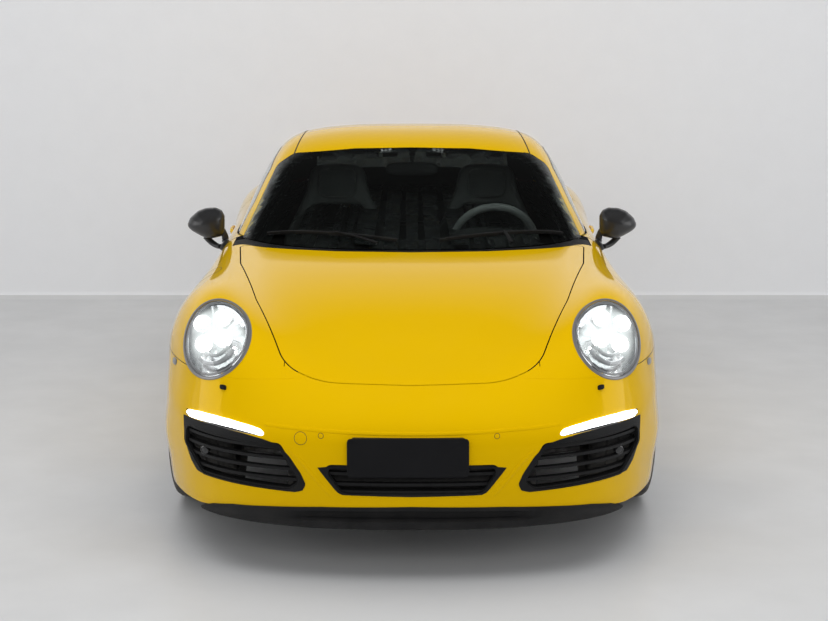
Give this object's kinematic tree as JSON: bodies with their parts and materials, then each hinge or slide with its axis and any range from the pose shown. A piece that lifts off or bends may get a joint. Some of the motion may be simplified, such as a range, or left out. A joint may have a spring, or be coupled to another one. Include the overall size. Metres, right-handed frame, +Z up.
{
  "type": "two-door rear-engine sports coupe",
  "caption": "Two-door sports coupe with hollow cabin, hinged doors and lids, steered front wheels and four spinning wheels.",
  "frame": {"origin": "on the floor under the middle of the car's box", "axes": "front towards -Y, the car's left side towards +X, +Z up"},
  "size_m": [1.8582, 4.5269, 1.2849],
  "materials": {
    "body_paint": "gloss",
    "black_trim": "satin",
    "glass": "gloss",
    "lamp_white": "gloss",
    "lamp_red": "gloss",
    "lamp_bowl": "polished",
    "polished_steel": "polished",
    "underbody": "matt",
    "engine": "cast",
    "axle_steel": "satin",
    "caliper": "gloss",
    "dash_trim": "grained",
    "seat_cover": "satin",
    "tyre": "matt",
    "alloy": "painted",
    "disc_iron": "machined"
  },
  "bodies": {
    "shell": {"front_bumper": "body_paint", "left_fender": "body_paint", "right_fender": "body_paint", "roof_panel": "body_paint", "left_body_side": "body_paint", "right_body_side": "body_paint", "rear_bumper": "body_paint", "front_lip": "black_trim", "cowl_panel": "black_trim", "intake_grilles": "black_trim", "wipers": "black_trim", "interior_mirror": "black_trim", "windshield": "glass", "rear_window": "glass", "quarter_windows": "glass", "headlamp_lenses": "glass", "daytime_lights": "lamp_white", "tail_lights": "lamp_red", "headlamps": "lamp_bowl", "exhaust_tips": "polished_steel", "floor_pan": "underbody", "engine_block": "engine", "front_axle": "axle_steel", "rear_axle": "axle_steel", "rear_calipers": "caliper", "dashboard": "dash_trim", "left_seat": "seat_cover", "right_seat": "seat_cover", "rear_seats": "seat_cover", "steering_wheel": "dash_trim"},
    "front_lid": {"bonnet": "body_paint"},
    "rear_lid": {"engine_lid": "body_paint"},
    "left_door_set": {"left_door": "body_paint", "left_door_glass": "glass", "left_mirror": "black_trim"},
    "right_door_set": {"right_door": "body_paint", "right_door_glass": "glass", "right_mirror": "black_trim"},
    "front_left_hub": {"front_left_knuckle": "axle_steel", "front_left_caliper": "caliper"},
    "front_left_road_wheel": {"front_left_tyre": "tyre", "front_left_wheel": "alloy", "front_left_brake_disc": "disc_iron"},
    "rear_left_road_wheel": {"rear_left_tyre": "tyre", "rear_left_wheel": "alloy", "rear_left_brake_disc": "disc_iron"},
    "front_right_hub": {"front_right_knuckle": "axle_steel", "front_right_caliper": "caliper"},
    "front_right_road_wheel": {"front_right_tyre": "tyre", "front_right_wheel": "alloy", "front_right_brake_disc": "disc_iron"},
    "rear_right_road_wheel": {"rear_right_tyre": "tyre", "rear_right_wheel": "alloy", "rear_right_brake_disc": "disc_iron"}
  },
  "joints": [
    {"name": "left_door_hinge", "type": "hinge", "parent": "shell", "child": "left_door_set", "pos_m": [0.84, -0.4855, 0.6], "axis": [0, 0, -1], "range_deg": [0, 62]},
    {"name": "right_door_hinge", "type": "hinge", "parent": "shell", "child": "right_door_set", "pos_m": [-0.84, -0.4855, 0.6], "axis": [0, 0, 1], "range_deg": [0, 62]},
    {"name": "bonnet_hinge", "type": "hinge", "parent": "shell", "child": "front_lid", "pos_m": [0, -0.6905, 0.895], "axis": [-1, 0, 0], "range_deg": [0, 60]},
    {"name": "engine_lid_hinge", "type": "hinge", "parent": "shell", "child": "rear_lid", "pos_m": [0, 1.3615, 1], "axis": [1, 0, 0], "range_deg": [0, 55]},
    {"name": "front_left_steer", "type": "hinge", "parent": "shell", "child": "front_left_hub", "pos_m": [0.695, -1.2505, 0.34], "axis": [0, 0, 1], "range_deg": [-32, 32]},
    {"name": "front_left_spin", "type": "hinge", "parent": "front_left_hub", "child": "front_left_road_wheel", "pos_m": [0.77, -1.2505, 0.34], "axis": [1, 0, 0], "continuous": true},
    {"name": "rear_left_spin", "type": "hinge", "parent": "shell", "child": "rear_left_road_wheel", "pos_m": [0.75, 1.1995, 0.3455], "axis": [1, 0, 0], "continuous": true},
    {"name": "front_right_steer", "type": "hinge", "parent": "shell", "child": "front_right_hub", "pos_m": [-0.695, -1.2505, 0.34], "axis": [0, 0, 1], "range_deg": [-32, 32]},
    {"name": "front_right_spin", "type": "hinge", "parent": "front_right_hub", "child": "front_right_road_wheel", "pos_m": [-0.77, -1.2505, 0.34], "axis": [1, 0, 0], "continuous": true},
    {"name": "rear_right_spin", "type": "hinge", "parent": "shell", "child": "rear_right_road_wheel", "pos_m": [-0.75, 1.1995, 0.3455], "axis": [1, 0, 0], "continuous": true}
  ],
  "couplings": [
    {"joint": "front_right_steer", "follows": "front_left_steer", "ratio": 1}
  ]
}
